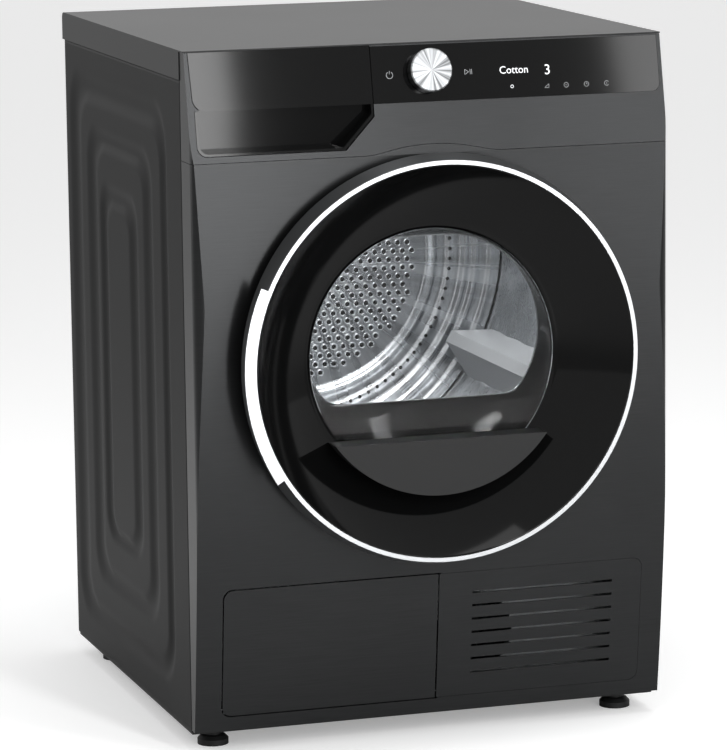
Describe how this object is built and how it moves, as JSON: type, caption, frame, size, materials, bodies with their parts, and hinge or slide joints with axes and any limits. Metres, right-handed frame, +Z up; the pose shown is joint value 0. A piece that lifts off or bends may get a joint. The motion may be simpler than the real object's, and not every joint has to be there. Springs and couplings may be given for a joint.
{
  "type": "clothes dryer",
  "caption": "Free-standing front-loading heat-pump clothes dryer with a round door, drum, water drawer and service flap.",
  "frame": {"origin": "on the floor, under the middle of the overall box", "axes": "+Z up, the front with the door faces -Y, +X to the right seen from the front"},
  "size_m": [0.6, 0.66, 0.85],
  "materials": {
    "graphite_steel": "fine horizontal brushed lacquer",
    "side_steel": "satin lacquer",
    "cover_plastic": "fine grain",
    "black_plastic": "satin",
    "gloss_black": "gloss",
    "silver_ring": "satin",
    "dial_metal": "spun",
    "stainless": "satin",
    "galvanised": "zinc",
    "clear_glass": "clear",
    "tank_plastic": "natural",
    "dark_rubber": "matt",
    "felt": "felt",
    "circuit_green": "lacquer",
    "copper": "drawn",
    "fin_aluminium": "mill",
    "light_plastic": "satin",
    "cast_motor": "painted"
  },
  "bodies": {
    "cabinet": {"base_tray": "black_plastic", "left_side_panel": "side_steel", "right_side_panel": "side_steel", "rear_panel": "galvanised", "rear_duct_cover": "galvanised", "top_cover": "cover_plastic", "front_panel": "graphite_steel", "control_fascia": "graphite_steel", "control_window": "gloss_black", "circuit_boards": "circuit_green", "front_bulkhead": "galvanised", "rear_bulkhead": "galvanised", "drum_bearings": "felt", "filter_housing": "black_plastic", "lint_filter": "light_plastic", "intake_grille": "graphite_steel", "exchanger_cover": "light_plastic", "heat_exchangers": "fin_aluminium", "exchanger_duct": "black_plastic", "compressor": "cast_motor", "refrigerant_pipes": "copper", "motor_housing": "cast_motor", "blower_housing": "black_plastic", "drive_belt": "dark_rubber", "idler_spring": "galvanised", "support_pins": "galvanised", "cooling_fan_motor": "black_plastic", "tank_housing": "black_plastic", "condensate_pump": "black_plastic", "pump_hose": "dark_rubber", "rear_fittings": "black_plastic", "door_fixings": "galvanised"},
    "door": {"door_ring": "silver_ring", "door_dish": "gloss_black", "door_window": "clear_glass", "door_bowl": "clear_glass", "door_trim": "black_plastic", "door_inner_frame": "black_plastic", "door_seal": "dark_rubber"},
    "drum": {"drum_shell": "stainless", "drum_rear_wall": "stainless", "drum_lifters": "light_plastic", "drum_shaft": "galvanised"},
    "motor_shaft": {"motor_rotor": "galvanised", "blower_wheel": "black_plastic"},
    "tensioner": {"idler_arm": "galvanised"},
    "tensioner_wheel": {"idler_pulley": "black_plastic"},
    "roller_left": {"front_roller_left": "black_plastic"},
    "roller_right": {"front_roller_right": "black_plastic"},
    "fan": {"cooling_fan": "black_plastic"},
    "dial": {"control_dial": "dial_metal"},
    "drawer": {"water_tank": "tank_plastic", "tank_front": "gloss_black"},
    "flap": {"service_flap": "graphite_steel"},
    "lock_left": {"cover_lock_left": "light_plastic"},
    "lock_right": {"cover_lock_right": "light_plastic"},
    "foot_front_left": {"front_left_foot": "black_plastic"},
    "foot_front_right": {"front_right_foot": "black_plastic"},
    "foot_rear_left": {"rear_left_foot": "black_plastic"},
    "foot_rear_right": {"rear_right_foot": "black_plastic"}
  },
  "joints": [
    {"name": "door_hinge", "type": "hinge", "parent": "cabinet", "child": "door", "pos_m": [0.232, -0.312, 0.474], "axis": [0, 0, 1], "range_deg": [0, 135]},
    {"name": "drum_spin", "type": "hinge", "parent": "cabinet", "child": "drum", "pos_m": [0, 0, 0.52], "axis": [0, 1, 0], "continuous": true},
    {"name": "motor_spin", "type": "hinge", "parent": "cabinet", "child": "motor_shaft", "pos_m": [0.205, 0, 0.13], "axis": [0, 1, 0], "continuous": true},
    {"name": "tensioner_swing", "type": "hinge", "parent": "cabinet", "child": "tensioner", "pos_m": [0.15, -0.05, 0.088], "axis": [0, 1, 0], "range_deg": [-3, 3], "stiffness_Nm_per_rad": 8, "deforming": ["idler_spring", "drive_belt"]},
    {"name": "tensioner_wheel_spin", "type": "hinge", "parent": "tensioner", "child": "tensioner_wheel", "pos_m": [0.114, -0.057, 0.141], "axis": [0, 1, 0], "continuous": true},
    {"name": "roller_left_spin", "type": "hinge", "parent": "cabinet", "child": "roller_left", "pos_m": [-0.15115, -0.186, 0.2582], "axis": [0, 1, 0], "continuous": true},
    {"name": "roller_right_spin", "type": "hinge", "parent": "cabinet", "child": "roller_right", "pos_m": [0.15115, -0.186, 0.2582], "axis": [0, 1, 0], "continuous": true},
    {"name": "fan_spin", "type": "hinge", "parent": "cabinet", "child": "fan", "pos_m": [0.07, -0.19, 0.115], "axis": [0, 1, 0], "continuous": true},
    {"name": "dial_turn", "type": "hinge", "parent": "cabinet", "child": "dial", "pos_m": [0, -0.26405, 0.815], "axis": [0, -0.9786, 0.2056], "continuous": true},
    {"name": "drawer_slide", "type": "slide", "parent": "cabinet", "child": "drawer", "axis": [0, -1, 0], "range_m": [0, 0.4]},
    {"name": "flap_swing", "type": "hinge", "parent": "cabinet", "child": "flap", "pos_m": [0, -0.2525, 0.054], "axis": [1, 0, 0], "range_deg": [0, 86]},
    {"name": "lock_left_turn", "type": "hinge", "parent": "cabinet", "child": "lock_left", "pos_m": [-0.246, -0.24, 0.129], "axis": [0, 1, 0], "range_deg": [0, 90]},
    {"name": "lock_right_turn", "type": "hinge", "parent": "cabinet", "child": "lock_right", "pos_m": [-0.028, -0.24, 0.129], "axis": [0, 1, 0], "range_deg": [-90, 0]},
    {"name": "foot_front_left_height", "type": "slide", "parent": "cabinet", "child": "foot_front_left", "axis": [0, 0, -1], "range_m": [0, 0.012]},
    {"name": "foot_front_right_height", "type": "slide", "parent": "cabinet", "child": "foot_front_right", "axis": [0, 0, -1], "range_m": [0, 0.012]},
    {"name": "foot_rear_left_height", "type": "slide", "parent": "cabinet", "child": "foot_rear_left", "axis": [0, 0, -1], "range_m": [0, 0.012]},
    {"name": "foot_rear_right_height", "type": "slide", "parent": "cabinet", "child": "foot_rear_right", "axis": [0, 0, -1], "range_m": [0, 0.012]}
  ],
  "couplings": [
    {"joint": "motor_spin", "follows": "drum_spin", "ratio": 18.647},
    {"joint": "tensioner_wheel_spin", "follows": "drum_spin", "ratio": -27.796},
    {"joint": "roller_left_spin", "follows": "drum_spin", "ratio": -15.778},
    {"joint": "roller_right_spin", "follows": "drum_spin", "ratio": -15.778}
  ]
}
